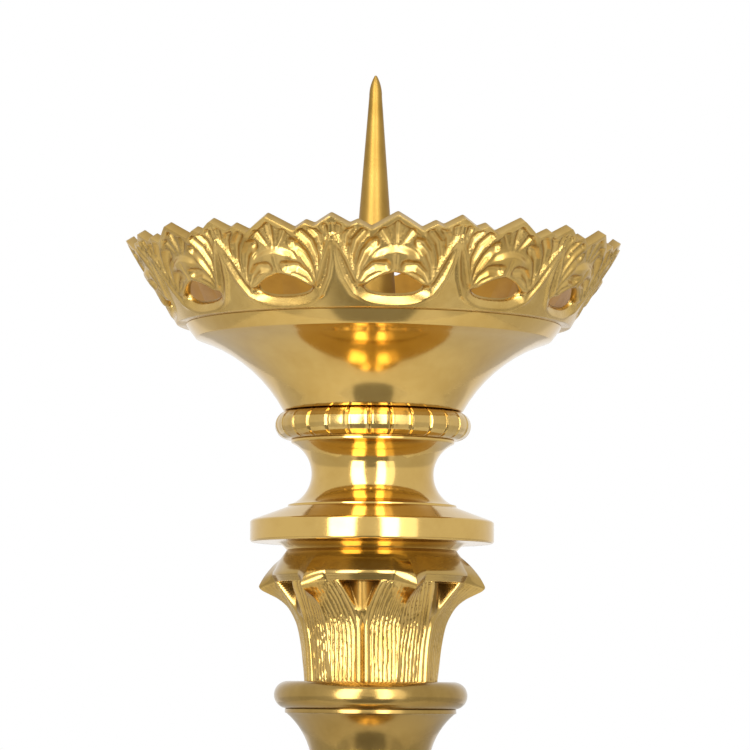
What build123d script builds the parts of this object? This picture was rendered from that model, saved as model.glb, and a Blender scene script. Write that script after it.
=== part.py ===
from build123d import *

import math
import os

# Pricket candle stand: turned and cast brass pieces stacked on one steel tie rod.
# Millimetres, +Z up, origin in the middle of the underside. The viewer stands at -Y.

# Fits, each a gap on the radius
SPIGOT_GAP = 0.1
ROD_GAP = 0.3
THREAD_GAP = 0.05
SPIGOT_LENGTH = 3.0

# Tie rod and its lower fastening
ROD_RADIUS = 4.0
ROD_TAIL = 3.0
ROD_CHAMFER = 0.8
NUT_ACROSS_FLATS = 13.0
NUT_HEIGHT = 6.5
NUT_CHAMFER = 0.6
LOCK_WASHER_RADIUS = 7.0
LOCK_WASHER_THICKNESS = 2.0
LOCK_WASHER_SLIT = 1.5
FLAT_WASHER_RADIUS = 12.0
FLAT_WASHER_THICKNESS = 1.6
BRIDGE_THICKNESS = 4.0
BRIDGE_LAP = 8.0

# Base: felt, closing plate and foot
FELT_THICKNESS = 2.0
FELT_INSET = 4.0
PLATE_THICKNESS = 2.0
PLATE_LAP = 4.0
FOOT_RADIUS = 95.0
FOOT_RIM_WIDTH = 9.0
FOOT_WALL = 6.0
PLINTH_HEIGHT = 7.0
PLINTH_LEDGE = 2.0
OVOLO_WIDTH = 12.0
OVOLO_HEIGHT = 12.0
OVOLO_BOW = 3.4
FILLET_HEIGHT = 2.0
FILLET_LEDGE = 2.0
COVE_HEIGHT = 11.0
COVE_BOW = -2.6
SHELF_RADIUS = 36.0
SHELF_THICKNESS = 5.0

# Base dome: a rounded shoulder running into a hollow neck
DOME_RADIUS = 62.0
DOME_LEDGE = 2.0
DOME_WALL = 4.0
DOME_BAND = 3.0
SHOULDER_WIDTH = 14.0
SHOULDER_HEIGHT = 12.0
SHOULDER_BOW = 2.3
HOLLOW_HEIGHT = 27.0
HOLLOW_BOW = -6.0
DOME_NECK_RADIUS = 26.0
DOME_TOP_THICKNESS = 6.0

# Ring between base and shaft, and the flares at both ends of the shaft
BEAD_SEAT_RADIUS = 24.9
BEAD_HEIGHT = 8.2
BEAD_BORE = 13.0
FLARE_RADIUS = 25.3
FLARE_HEIGHT = 17.0
FLARE_BOW = -2.08
FLARE_FILLET_HEIGHT = 1.3
FLARE_FILLET_STEP = 0.4
TORUS_SEAT_RADIUS = 24.9
TORUS_HEIGHT = 8.2

# Shaft tube
SHAFT_LENGTH = 207.5
SHAFT_FOOT_RADIUS = 18.4
SHAFT_TOP_RADIUS = 17.4
SHAFT_BORE = 13.6
SHAFT_SPIGOT_LENGTH = 10.0

# Leaf capital: six leaves round a waist, their tips curling out
LEAF_COUNT = 6
LEAF_GAP_VIEW = -7.2
CAPITAL_HEIGHT = 39.1
CAPITAL_FOOT_RADIUS = 20.1
CAPITAL_BORE = 13.0
LEAF_WAIST_HEIGHT = 15.0
LEAF_WAIST_RADIUS = 22.1
LEAF_WAIST_BOW = -0.3
LEAF_TIP_RADIUS = 34.2
LEAF_TIP_HEIGHT = 28.3
LEAF_CURL_BOW = -3.6
LEAF_DOME_BOW = 1.6
LEAF_DOME_RADIUS = 25.6
LEAF_TIP_LENGTH = 6.7
LEAF_TIP_HALF_WIDTH = 7.0
LEAF_RIM_RADIUS = 28.4
LEAF_RIM_FOOT = 29.9
LEAF_RIM_TOP = 31.9
LEAF_RIM_CURL_BOW = -1.3
LEAF_RIM_DOME_BOW = 0.5
LEAF_RECESS_RADIUS = 22.5
LEAF_RECESS_WIDTH = 12.4
LEAF_RECESS_APEX = 20.5
LEAF_RECESS_SHOULDER = 28.6
LEAF_RECESS_TOP = 29.9
LEAF_RECESS_BEND = 0.5
LEAF_RECESS_HOLLOW = 0.6
LEAF_GROOVE_WIDTH = 2.0
LEAF_GROOVE_DEPTH = 1.2
MIDRIB_WIDTH = 1.6
MIDRIB_HEIGHT = 0.7

# Neck spool with its broad flange
FLANGE_SEAT_RADIUS = 25.6
FLANGE_COVE_RADIUS = 30.5
FLANGE_COVE_HEIGHT = 2.4
FLANGE_COVE_BOW = -0.8
FLANGE_RADIUS = 36.7
FLANGE_RIM_HEIGHT = 6.7
FLANGE_EDGE = 0.5
FLANGE_CONE_HEIGHT = 4.0
SPOOL_STEP_RADIUS = 25.4
SPOOL_STEP_HEIGHT = 0.7
SPOOL_END_RADIUS = 24.6
SPOOL_HEIGHT = 18.6
SPOOL_BOW = -6.2
SPOOL_TOP_STEP = 1.0

# Gadroon ring
GADROON_COUNT = 28
GADROON_VIEW = -2.3
GADROON_RING_HEIGHT = 8.6
GADROON_SEAT_RADIUS = 25.1
GADROON_BORE = 17.0
GADROON_DEPTH = 0.7
GADROON_GROOVE = 0.9

# Bell under the wax pan
BELL_SEAT_RADIUS = 27.0
BELL_FLARE_HEIGHT = 21.7
BELL_FLARE_BOW = -3.4
BELL_RIM_RADIUS = 56.8
BELL_RIM_SLANT = 3.1
BELL_RIM_HEIGHT = 4.1
BELL_RIM_WIDTH = 6.0
BELL_FLOOR_THICKNESS = 4.0
BELL_FLOOR_RADIUS = 20.0
BELL_LIP_DEPTH = 1.2
SPACER_RADIUS = 8.0

# Drip dish: a shallow well with a flange on the gallery's foot
DISH_THICKNESS = 2.0
DISH_DEPTH = 4.0
DISH_SHELF = 13.8
DISH_EDGE_GAP = 0.3

# Gallery: a leaning wall of twelve pierced palmettes with a toothed rim
MODULE_COUNT = 12
PALMETTE_VIEW = 5.3
GALLERY_LEAN = 30.8
GALLERY_SLOPE = 30.0
GALLERY_WALL = 2.5
GALLERY_OVERHANG = 2.8
GALLERY_FOOT_THICKNESS = 2.0
GALLERY_UNDERCUT = 0.3
GALLERY_LAP = 4.8
RIM_SPARE = 1.0
RELIEF_ROOT = 0.5
RELIEF_REACH = 6.0

# Rim of half a module: degrees from the palmette's middle, and the drop below its peak
RIM_NOTCH = (5.9, 4.2)
RIM_BUMP = (8.9, 2.3)
RIM_DIP = (10.9, 3.2)
RIM_DIVIDE_DROP = 0.4

# Palmette: points (across, up the slope) on the unrolled wall, from the middle of its lower edge
OPENING_CORNER = (8.8, 5.8)
OPENING_CUSP = (0.0, 10.8)
OPENING_BROW = (4.2, 9.5)
OPENING_SILL = (0.0, 3.4)
LIP_CORNER = (11.0, 6.4)
LIP_BOTTOM = (0.0, 0.9)
LIP_HEIGHT = 1.3
BEAD_LINES = (
    ((9.2, 1.7), (12.2, 4.9), (15.0, 9.8), (17.2, 15.6)),
    ((11.2, 8.4), (13.4, 13.6), (16.4, 19.6)),
)
BEAD_LINE_WIDTH = 1.1
BEAD_LINE_HEIGHT = 0.7
# Each lobe's middle line from root to tip, and its greatest width
LOBES = (
    ((9.5, 7.6), (6.6, 11.6), (3.8, 13.2), (1.2, 12.9), 3.6),
    ((10.6, 9.4), (9.4, 15.4), (8.0, 18.6), (6.9, 20.0), 3.0),
    ((11.3, 10.6), (11.6, 16.0), (10.5, 21.0), (9.5, 22.4), 1.8),
)
FAN_LOBES = (
    ((0.0, 18.6), (0.0, 22.4), (0.0, 25.0), (0.0, 26.3), 1.9),
    ((0.9, 18.8), (2.2, 21.6), (2.9, 23.2), (3.3, 24.2), 1.6),
)
LOBE_HEIGHT = 0.9
LOBE_WIDTHS = (0.2, 0.7, 1.0, 0.4)

# Pricket and the washer that it carries
PRICKET_LENGTH = 75.1
PRICKET_FOOT_RADIUS = 7.3
PRICKET_POINT_RADIUS = 2.1
PRICKET_POINT_LENGTH = 6.5
PRICKET_POINT_BOW = 0.45
PRICKET_NOSE_RADIUS = 0.3
PRICKET_ENGAGEMENT = 10.0
PRICKET_BORE_SPARE = 3.0
PRICKET_WASHER_RADIUS = 10.0
PRICKET_WASHER_THICKNESS = 1.5

# Heights of the seats, from the floor up
Z_FOOT = FELT_THICKNESS
Z_DOME = Z_FOOT + PLINTH_HEIGHT + OVOLO_HEIGHT + FILLET_HEIGHT + COVE_HEIGHT
Z_BEAD = Z_DOME + DOME_BAND + SHOULDER_HEIGHT + HOLLOW_HEIGHT
Z_SHAFT_FOOT = Z_BEAD + BEAD_HEIGHT
Z_SHAFT = Z_SHAFT_FOOT + FLARE_FILLET_HEIGHT + FLARE_HEIGHT
Z_COLLAR = Z_SHAFT + SHAFT_LENGTH
Z_CAPITAL = Z_COLLAR + FLARE_HEIGHT + FLARE_FILLET_HEIGHT + TORUS_HEIGHT
Z_NECK = Z_CAPITAL + CAPITAL_HEIGHT
Z_FLANGE = Z_NECK + FLANGE_COVE_HEIGHT
Z_SPOOL = Z_FLANGE + FLANGE_RIM_HEIGHT + FLANGE_CONE_HEIGHT + SPOOL_STEP_HEIGHT
Z_RING = Z_SPOOL + SPOOL_HEIGHT + SPOOL_TOP_STEP
Z_BELL = Z_RING + GADROON_RING_HEIGHT
Z_GALLERY = Z_BELL + BELL_FLARE_HEIGHT + BELL_RIM_HEIGHT
Z_DISH = Z_GALLERY + GALLERY_FOOT_THICKNESS
Z_DISH_FLOOR = Z_DISH + DISH_THICKNESS - DISH_DEPTH
Z_PRICKET = Z_DISH_FLOOR + PRICKET_WASHER_THICKNESS
Z_BRIDGE = Z_DOME - SHELF_THICKNESS - BRIDGE_THICKNESS
Z_FLAT_WASHER = Z_BRIDGE - FLAT_WASHER_THICKNESS
Z_LOCK_WASHER = Z_FLAT_WASHER - LOCK_WASHER_THICKNESS
Z_NUT = Z_LOCK_WASHER - NUT_HEIGHT

# Radii that several pieces share
ROD_HOLE = ROD_RADIUS + ROD_GAP
THREAD_HOLE = ROD_RADIUS + THREAD_GAP
PLATE_RADIUS = FOOT_RADIUS - FOOT_RIM_WIDTH
DOME_BORE = DOME_RADIUS - DOME_WALL
DISH_WELL_RADIUS = BELL_RIM_RADIUS - DISH_SHELF
GALLERY_RADIUS = BELL_RIM_RADIUS + GALLERY_OVERHANG
MODULE_ANGLE = 360 / MODULE_COUNT


def turned(start, *steps, sweep=360):
    """Turn a closed outline about the axis. A step is the next (radius, height), with the bow of an arc
    as a third number where the way there is curved: positive swells, negative hollows."""
    edges = []
    here = start
    for radius, height, *bow in steps + (start,):
        there = (radius, height)
        first, last = (here[0], 0, here[1]), (there[0], 0, there[1])
        if bow:
            run, rise = there[0] - here[0], there[1] - here[1]
            length = math.hypot(run, rise)
            middle = (
                (here[0] + there[0]) / 2 + bow[0] * rise / length,
                0,
                (here[1] + there[1]) / 2 - bow[0] * run / length,
            )
            edges.append(ThreePointArc(first, middle, last))
        else:
            edges.append(Line(first, last))
        here = there
    return revolve(Face(Wire(edges)), axis=Axis.Z, revolution_arc=sweep)


def round_the_axis(shape, count, first_angle):
    """Copies of a shape at even steps round the axis."""
    return [Rot(0, 0, first_angle + 360 / count * step) * shape for step in range(count)]


def bearing(view_angle):
    """Angle round +Z of a direction given from the viewer's side, positive to the viewer's right."""
    return view_angle - 90


def ring(inner, outer, bottom, thickness):
    """Flat ring or disc with a hole."""
    top = bottom + thickness
    return turned((inner, bottom), (outer, bottom), (outer, top), (inner, top))


def felt_pad():
    return Cylinder(
        FOOT_RADIUS - FELT_INSET, FELT_THICKNESS, align=(Align.CENTER, Align.CENTER, Align.MIN)
    )


def base_plate():
    return Pos(0, 0, Z_FOOT) * Cylinder(
        PLATE_RADIUS, PLATE_THICKNESS, align=(Align.CENTER, Align.CENTER, Align.MIN)
    )


def base_foot():
    """Hollow cast foot: plinth, ovolo, fillet and cove outside, a shelf for the bridge inside."""
    plinth_top = Z_FOOT + PLINTH_HEIGHT
    ovolo_top = plinth_top + OVOLO_HEIGHT
    ovolo_radius = FOOT_RADIUS - PLINTH_LEDGE - OVOLO_WIDTH
    fillet_radius = ovolo_radius - FILLET_LEDGE
    fillet_top = ovolo_top + FILLET_HEIGHT
    top_radius = DOME_RADIUS + DOME_LEDGE
    shelf_bottom = Z_DOME - SHELF_THICKNESS
    recess_radius = PLATE_RADIUS + SPIGOT_GAP
    recess_top = Z_FOOT + PLATE_THICKNESS
    wall_radius = PLATE_RADIUS - PLATE_LAP
    spigot_radius = DOME_BORE - SPIGOT_GAP
    spigot_top = Z_DOME + SPIGOT_LENGTH
    return turned(
        (SHELF_RADIUS, shelf_bottom),
        (top_radius - FOOT_WALL, shelf_bottom),
        (wall_radius, plinth_top),
        (wall_radius, recess_top),
        (recess_radius, recess_top),
        (recess_radius, Z_FOOT),
        (FOOT_RADIUS, Z_FOOT),
        (FOOT_RADIUS, plinth_top),
        (FOOT_RADIUS - PLINTH_LEDGE, plinth_top),
        (ovolo_radius, ovolo_top, OVOLO_BOW),
        (fillet_radius, ovolo_top),
        (fillet_radius, fillet_top),
        (top_radius, Z_DOME, COVE_BOW),
        (spigot_radius, Z_DOME),
        (spigot_radius, spigot_top),
        (spigot_radius - DOME_WALL, spigot_top),
        (spigot_radius - DOME_WALL, Z_DOME),
        (SHELF_RADIUS, Z_DOME),
    )


def base_dome():
    """Hollow dome of the base, its skin of even thickness, closed by a thick top under the shaft."""
    band_top = Z_DOME + DOME_BAND
    shoulder_radius = DOME_RADIUS - SHOULDER_WIDTH
    shoulder_top = band_top + SHOULDER_HEIGHT
    return turned(
        (DOME_BORE, Z_DOME),
        (DOME_RADIUS, Z_DOME),
        (DOME_RADIUS, band_top),
        (shoulder_radius, shoulder_top, SHOULDER_BOW),
        (DOME_NECK_RADIUS, Z_BEAD, HOLLOW_BOW),
        (BEAD_BORE, Z_BEAD),
        (BEAD_BORE, Z_BEAD - DOME_TOP_THICKNESS),
        (DOME_NECK_RADIUS - DOME_WALL, Z_BEAD - DOME_TOP_THICKNESS),
        (shoulder_radius - DOME_WALL, shoulder_top - DOME_WALL, -HOLLOW_BOW),
        (DOME_BORE, band_top, -SHOULDER_BOW),
    )


def base_bead():
    return turned(
        (BEAD_BORE, Z_BEAD),
        (BEAD_SEAT_RADIUS, Z_BEAD),
        (BEAD_SEAT_RADIUS, Z_SHAFT_FOOT, BEAD_HEIGHT / 2),
        (BEAD_BORE, Z_SHAFT_FOOT),
    )


def shaft_foot():
    """Flare at the shaft's lower end, with spigots down through the bead and up into the tube."""
    lower_spigot = BEAD_BORE - SPIGOT_GAP
    upper_spigot = SHAFT_BORE - SPIGOT_GAP
    spigot_bottom = Z_BEAD - SPIGOT_LENGTH
    fillet_radius = FLARE_RADIUS + FLARE_FILLET_STEP
    fillet_top = Z_SHAFT_FOOT + FLARE_FILLET_HEIGHT
    spigot_top = Z_SHAFT + SHAFT_SPIGOT_LENGTH
    return turned(
        (ROD_HOLE, spigot_bottom),
        (lower_spigot, spigot_bottom),
        (lower_spigot, Z_SHAFT_FOOT),
        (fillet_radius, Z_SHAFT_FOOT),
        (fillet_radius, fillet_top),
        (FLARE_RADIUS, fillet_top),
        (SHAFT_FOOT_RADIUS, Z_SHAFT, FLARE_BOW),
        (upper_spigot, Z_SHAFT),
        (upper_spigot, spigot_top),
        (ROD_HOLE, spigot_top),
    )


def shaft():
    return turned(
        (SHAFT_BORE, Z_SHAFT),
        (SHAFT_FOOT_RADIUS, Z_SHAFT),
        (SHAFT_TOP_RADIUS, Z_COLLAR),
        (SHAFT_BORE, Z_COLLAR),
    )


def shaft_collar():
    """Flare and torus at the shaft's upper end, with spigots into the tube and into the capital."""
    lower_spigot = SHAFT_BORE - SPIGOT_GAP
    upper_spigot = CAPITAL_BORE - SPIGOT_GAP
    spigot_bottom = Z_COLLAR - SHAFT_SPIGOT_LENGTH
    flare_top = Z_COLLAR + FLARE_HEIGHT
    fillet_radius = FLARE_RADIUS + FLARE_FILLET_STEP
    fillet_top = flare_top + FLARE_FILLET_HEIGHT
    spigot_top = Z_CAPITAL + SPIGOT_LENGTH
    return turned(
        (ROD_HOLE, spigot_bottom),
        (lower_spigot, spigot_bottom),
        (lower_spigot, Z_COLLAR),
        (SHAFT_TOP_RADIUS, Z_COLLAR),
        (FLARE_RADIUS, flare_top, FLARE_BOW),
        (fillet_radius, flare_top),
        (fillet_radius, fillet_top),
        (TORUS_SEAT_RADIUS, fillet_top),
        (TORUS_SEAT_RADIUS, Z_CAPITAL, TORUS_HEIGHT / 2),
        (upper_spigot, Z_CAPITAL),
        (upper_spigot, spigot_top),
        (ROD_HOLE, spigot_top),
    )


def leaf_outline():
    """Plan of the leaf tips: one straight-sided point per leaf."""
    root = LEAF_TIP_RADIUS - LEAF_TIP_LENGTH
    point = make_face(
        Polyline(
            (0, 0),
            (root, -LEAF_TIP_HALF_WIDTH),
            (LEAF_TIP_RADIUS, 0),
            (root, LEAF_TIP_HALF_WIDTH),
            close=True,
        )
    )
    return [Rot(0, 0, 360 / LEAF_COUNT * (step + 0.5)) * point for step in range(LEAF_COUNT)]


def leaf_recess():
    """Cutter for the smooth pointed recess between two leaves, and the groove that runs down from it."""
    half_width = LEAF_RECESS_WIDTH / 2
    apex = (0, LEAF_RECESS_APEX)
    left, right = (-half_width, LEAF_RECESS_SHOULDER), (half_width, LEAF_RECESS_SHOULDER)
    side_height = LEAF_RECESS_APEX + LEAF_RECESS_BEND * (LEAF_RECESS_SHOULDER - LEAF_RECESS_APEX)
    side = half_width * LEAF_RECESS_BEND - LEAF_RECESS_HOLLOW
    face = make_face([
        ThreePointArc(apex, (side, side_height), right),
        ThreePointArc(right, (0, LEAF_RECESS_TOP), left),
        ThreePointArc(left, (-side, side_height), apex),
    ])
    facing = Plane(origin=(LEAF_RECESS_RADIUS, 0, Z_CAPITAL), x_dir=(0, 1, 0), z_dir=(1, 0, 0))
    hollow = extrude(facing * face, amount=LEAF_TIP_RADIUS)
    groove_centre = LEAF_WAIST_RADIUS - LEAF_GROOVE_DEPTH + LEAF_GROOVE_WIDTH
    groove = Pos(groove_centre, 0, Z_CAPITAL) * Cylinder(
        LEAF_GROOVE_WIDTH, LEAF_RECESS_APEX + half_width, align=(Align.CENTER, Align.CENTER, Align.MIN)
    )
    return hollow + groove


def midrib():
    """Raised rib up the middle of a leaf, clear of the collar and of the leaf's tip."""
    outer = LEAF_WAIST_RADIUS + MIDRIB_HEIGHT
    rib = turned(
        (CAPITAL_FOOT_RADIUS - MIDRIB_HEIGHT, Z_CAPITAL),
        (CAPITAL_FOOT_RADIUS + MIDRIB_HEIGHT, Z_CAPITAL),
        (outer, Z_CAPITAL + LEAF_WAIST_HEIGHT, LEAF_WAIST_BOW),
        (LEAF_TIP_RADIUS - MIDRIB_WIDTH, Z_CAPITAL + LEAF_TIP_HEIGHT, LEAF_CURL_BOW),
        (LEAF_WAIST_RADIUS - MIDRIB_HEIGHT, Z_CAPITAL + LEAF_TIP_HEIGHT),
        (LEAF_WAIST_RADIUS - MIDRIB_HEIGHT, Z_CAPITAL + LEAF_WAIST_HEIGHT),
    )
    blade = Pos(0, 0, Z_CAPITAL) * Box(
        LEAF_TIP_RADIUS, MIDRIB_WIDTH, CAPITAL_HEIGHT, align=(Align.MIN, Align.CENTER, Align.MIN)
    )
    return rib & blade


def capital_body(*profile):
    """Turned body of the capital: foot and waist, and above them the profile given."""
    return turned(
        (CAPITAL_BORE, Z_CAPITAL),
        (CAPITAL_FOOT_RADIUS, Z_CAPITAL),
        (LEAF_WAIST_RADIUS, Z_CAPITAL + LEAF_WAIST_HEIGHT, LEAF_WAIST_BOW),
        *profile,
        (CAPITAL_BORE, Z_NECK),
    )


def leaf_capital():
    """Cast capital: a waist that curls out under a polished dome, into six pointed leaves with a plain
    rim between them."""
    gap = bearing(LEAF_GAP_VIEW)
    between = capital_body(
        (LEAF_RIM_RADIUS, Z_CAPITAL + LEAF_RIM_FOOT, LEAF_RIM_CURL_BOW),
        (LEAF_RIM_RADIUS, Z_CAPITAL + LEAF_RIM_TOP),
        (LEAF_DOME_RADIUS, Z_NECK, LEAF_RIM_DOME_BOW),
    )
    leaves = capital_body(
        (LEAF_TIP_RADIUS, Z_CAPITAL + LEAF_TIP_HEIGHT, LEAF_CURL_BOW),
        (LEAF_DOME_RADIUS, Z_NECK, LEAF_DOME_BOW),
    )
    plan = [Pos(0, 0, Z_CAPITAL) * Rot(0, 0, gap) * point for point in leaf_outline()]
    tips = [leaves & extrude(point, amount=CAPITAL_HEIGHT) for point in plan]
    body = between + tips
    body = body + round_the_axis(midrib(), LEAF_COUNT, gap + 180 / LEAF_COUNT)
    return body - round_the_axis(leaf_recess(), LEAF_COUNT, gap)


def neck_spool():
    """Broad flange with a coved underside and a coned top, running up into a waisted spool."""
    lower_spigot = CAPITAL_BORE - SPIGOT_GAP
    upper_spigot = GADROON_BORE - SPIGOT_GAP
    rim_top = Z_FLANGE + FLANGE_RIM_HEIGHT
    cone_top = rim_top + FLANGE_CONE_HEIGHT
    spool_top = Z_SPOOL + SPOOL_HEIGHT
    return turned(
        (ROD_HOLE, Z_NECK - SPIGOT_LENGTH),
        (lower_spigot, Z_NECK - SPIGOT_LENGTH),
        (lower_spigot, Z_NECK),
        (FLANGE_SEAT_RADIUS, Z_NECK),
        (FLANGE_COVE_RADIUS, Z_FLANGE, FLANGE_COVE_BOW),
        (FLANGE_RADIUS - FLANGE_EDGE, Z_FLANGE),
        (FLANGE_RADIUS, Z_FLANGE + FLANGE_EDGE),
        (FLANGE_RADIUS, rim_top - FLANGE_EDGE),
        (FLANGE_RADIUS - FLANGE_EDGE, rim_top),
        (SPOOL_STEP_RADIUS, cone_top),
        (SPOOL_STEP_RADIUS, Z_SPOOL),
        (SPOOL_END_RADIUS, Z_SPOOL),
        (SPOOL_END_RADIUS, spool_top, SPOOL_BOW),
        (SPOOL_END_RADIUS, Z_RING),
        (upper_spigot, Z_RING),
        (upper_spigot, Z_RING + SPIGOT_LENGTH),
        (ROD_HOLE, Z_RING + SPIGOT_LENGTH),
    )


def gadroon_ring():
    """Half-round ring whose face swells between fine cross cuts."""
    def half_round(bow, sweep=360):
        return turned(
            (GADROON_BORE, Z_RING),
            (GADROON_SEAT_RADIUS, Z_RING),
            (GADROON_SEAT_RADIUS, Z_BELL, bow),
            (GADROON_BORE, Z_BELL),
            sweep=sweep,
        )
    swell = GADROON_RING_HEIGHT / 2
    groove_angle = math.degrees(GADROON_GROOVE / (GADROON_SEAT_RADIUS + swell))
    gadroon_angle = 360 / GADROON_COUNT - groove_angle
    gadroon = half_round(swell, gadroon_angle)
    first = bearing(GADROON_VIEW) + groove_angle / 2
    return half_round(swell - GADROON_DEPTH) + round_the_axis(gadroon, GADROON_COUNT, first)


def pan_bell():
    """Turned bell: a trumpet flare to a sharp arris and a narrow rim band, hollow inside."""
    spigot_radius = GADROON_BORE - SPIGOT_GAP
    spigot_bottom = Z_BELL - SPIGOT_LENGTH
    arris = Z_BELL + BELL_FLARE_HEIGHT
    mouth_radius = BELL_RIM_RADIUS - BELL_RIM_WIDTH
    floor_top = Z_BELL + BELL_FLOOR_THICKNESS
    return turned(
        (ROD_HOLE, spigot_bottom),
        (spigot_radius, spigot_bottom),
        (spigot_radius, Z_BELL),
        (BELL_SEAT_RADIUS, Z_BELL),
        (BELL_RIM_RADIUS - BELL_RIM_SLANT, arris, BELL_FLARE_BOW),
        (BELL_RIM_RADIUS, Z_GALLERY),
        (mouth_radius, Z_GALLERY),
        (mouth_radius, Z_GALLERY - BELL_LIP_DEPTH),
        (BELL_FLOOR_RADIUS, floor_top, -BELL_FLARE_BOW),
        (ROD_HOLE, floor_top),
    )


def pan_spacer():
    bottom = Z_BELL + BELL_FLOOR_THICKNESS
    return ring(ROD_HOLE, SPACER_RADIUS, bottom, Z_DISH_FLOOR - DISH_THICKNESS - bottom)


def gallery_radius(height, inset=0.0):
    """Radius of the gallery's wall at a height, or of a face set in from it square to the slope."""
    lean = math.radians(GALLERY_LEAN)
    above = height - Z_GALLERY - GALLERY_UNDERCUT
    return GALLERY_RADIUS + above * math.tan(lean) - inset / math.cos(lean)


def drip_dish():
    """Spun dish: its flange lies on the gallery's foot and its well hangs inside the bell."""
    flange_radius = gallery_radius(Z_DISH, GALLERY_WALL) - DISH_EDGE_GAP
    flange_top = Z_DISH + DISH_THICKNESS
    floor_bottom = Z_DISH_FLOOR - DISH_THICKNESS
    return turned(
        (ROD_HOLE, floor_bottom),
        (DISH_WELL_RADIUS, floor_bottom),
        (DISH_WELL_RADIUS + DISH_THICKNESS, Z_DISH),
        (flange_radius, Z_DISH),
        (flange_radius, flange_top),
        (DISH_WELL_RADIUS, flange_top),
        (DISH_WELL_RADIUS - DISH_THICKNESS, Z_DISH_FLOOR),
        (ROD_HOLE, Z_DISH_FLOOR),
    )


def gallery_wall():
    """Plain leaning wall, with its foot between bell and dish."""
    lean = math.radians(GALLERY_LEAN)
    top = Z_GALLERY + GALLERY_UNDERCUT + (GALLERY_SLOPE + RIM_SPARE) * math.cos(lean)
    foot_bore = BELL_RIM_RADIUS - GALLERY_LAP
    wall_bottom = Z_GALLERY + GALLERY_UNDERCUT
    return turned(
        (foot_bore, Z_GALLERY),
        (BELL_RIM_RADIUS, Z_GALLERY),
        (GALLERY_RADIUS, wall_bottom),
        (gallery_radius(top), top),
        (gallery_radius(top, GALLERY_WALL), top),
        (gallery_radius(Z_DISH, GALLERY_WALL), Z_DISH),
        (foot_bore, Z_DISH),
    )


def wall_flat():
    """Flat that touches the wall along its middle: across, and up the slope from its lower edge."""
    lean = math.radians(GALLERY_LEAN)
    return Plane(
        origin=(GALLERY_RADIUS, 0, Z_GALLERY + GALLERY_UNDERCUT),
        x_dir=(0, 1, 0),
        z_dir=(math.cos(lean), 0, -math.sin(lean)),
    )


def wall_radius(slope):
    return GALLERY_RADIUS + slope * math.sin(math.radians(GALLERY_LEAN))


def on_flat(angle, slope):
    """Point of the flat in front of a point of the wall, which is given by its angle from the middle."""
    radius = wall_radius(slope)
    drop = radius * (1 - math.cos(angle)) * math.sin(math.radians(GALLERY_LEAN))
    return radius * math.sin(angle), slope - drop


def band(line, widths):
    """Outline of a band along a line of points, with a width at each point."""
    points = [Vector(*point) for point in line]
    left, right = [], []
    for before, point, after, width in zip(points[:1] + points, points, points[1:] + points[-1:], widths):
        along = (after - before).normalized()
        across = Vector(-along.Y, along.X) * (width / 2)
        left.append(point + across)
        right.append(point - across)
    return left + right[::-1]


def relief(outline, height, side):
    """Raised piece of the ornament with a flat top, on the flat that touches the wall under its middle."""
    angles = [side * point.X / wall_radius(point.Y) for point in outline]
    middle = sum(angles) / len(angles)
    corners = [on_flat(angle - middle, point.Y) for angle, point in zip(angles, outline)]
    sunk = wall_flat().offset(-RELIEF_ROOT)
    raised = extrude(sunk * make_face(Polyline(*corners, close=True)), amount=RELIEF_ROOT + height)
    return Rot(0, 0, math.degrees(middle)) * raised


def ornament():
    """Raised lines and lobes of one palmette."""
    pieces = []
    for side in (-1, 1):
        for line in BEAD_LINES:
            pieces.append(relief(band(line, [BEAD_LINE_WIDTH] * len(line)), BEAD_LINE_HEIGHT, side))
        for *line, width in LOBES + FAN_LOBES:
            if side == 1 or line[-1][0]:
                widths = [width * share for share in LOBE_WIDTHS]
                pieces.append(relief(band(line, widths), LOBE_HEIGHT, side))
    return pieces


def opening():
    """Pierced opening under the palmette: a round sill and two brows that meet in a cusp."""
    (x, y), (brow_x, brow_y) = OPENING_CORNER, OPENING_BROW
    return make_face([
        ThreePointArc((-x, y), OPENING_SILL, (x, y)),
        ThreePointArc((x, y), (brow_x, brow_y), OPENING_CUSP),
        ThreePointArc(OPENING_CUSP, (-brow_x, brow_y), (-x, y)),
    ])


def sill_lip():
    """Broad lip under the opening, from corner to corner, standing evenly off the wall."""
    (x, y), (lip_x, lip_y) = OPENING_CORNER, LIP_CORNER
    face = make_face([
        ThreePointArc((-lip_x, lip_y), LIP_BOTTOM, (lip_x, lip_y)),
        Line((lip_x, lip_y), (x, y)),
        ThreePointArc((x, y), OPENING_SILL, (-x, y)),
        Line((-x, y), (-lip_x, lip_y)),
    ])
    bottom = Z_GALLERY + GALLERY_UNDERCUT
    top = Z_GALLERY + GALLERY_UNDERCUT + LIP_CORNER[1]
    skin = turned(
        (gallery_radius(bottom, RELIEF_ROOT), bottom),
        (gallery_radius(bottom, -LIP_HEIGHT), bottom),
        (gallery_radius(top, -LIP_HEIGHT), top),
        (gallery_radius(top, RELIEF_ROOT), top),
        sweep=MODULE_ANGLE,
    )
    skin = Rot(0, 0, -MODULE_ANGLE / 2) * skin
    return extrude(wall_flat() * face, amount=RELIEF_REACH, both=True) & skin


def rim_cutter():
    """Everything above the toothed rim of one module."""
    half = [on_flat(0, GALLERY_SLOPE)]
    for degrees, drop in (RIM_NOTCH, RIM_BUMP, RIM_DIP, (MODULE_ANGLE / 2, RIM_DIVIDE_DROP)):
        half.append(on_flat(math.radians(degrees), GALLERY_SLOPE - drop))
    far = half[-1][0] + RIM_SPARE
    half.append((far, half[-1][1]))
    half.append((far, GALLERY_SLOPE + 2 * RIM_SPARE))
    mirrored = [(-x, y) for x, y in reversed(half[1:])]
    return make_face(Polyline(*half, *mirrored, close=True))


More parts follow.
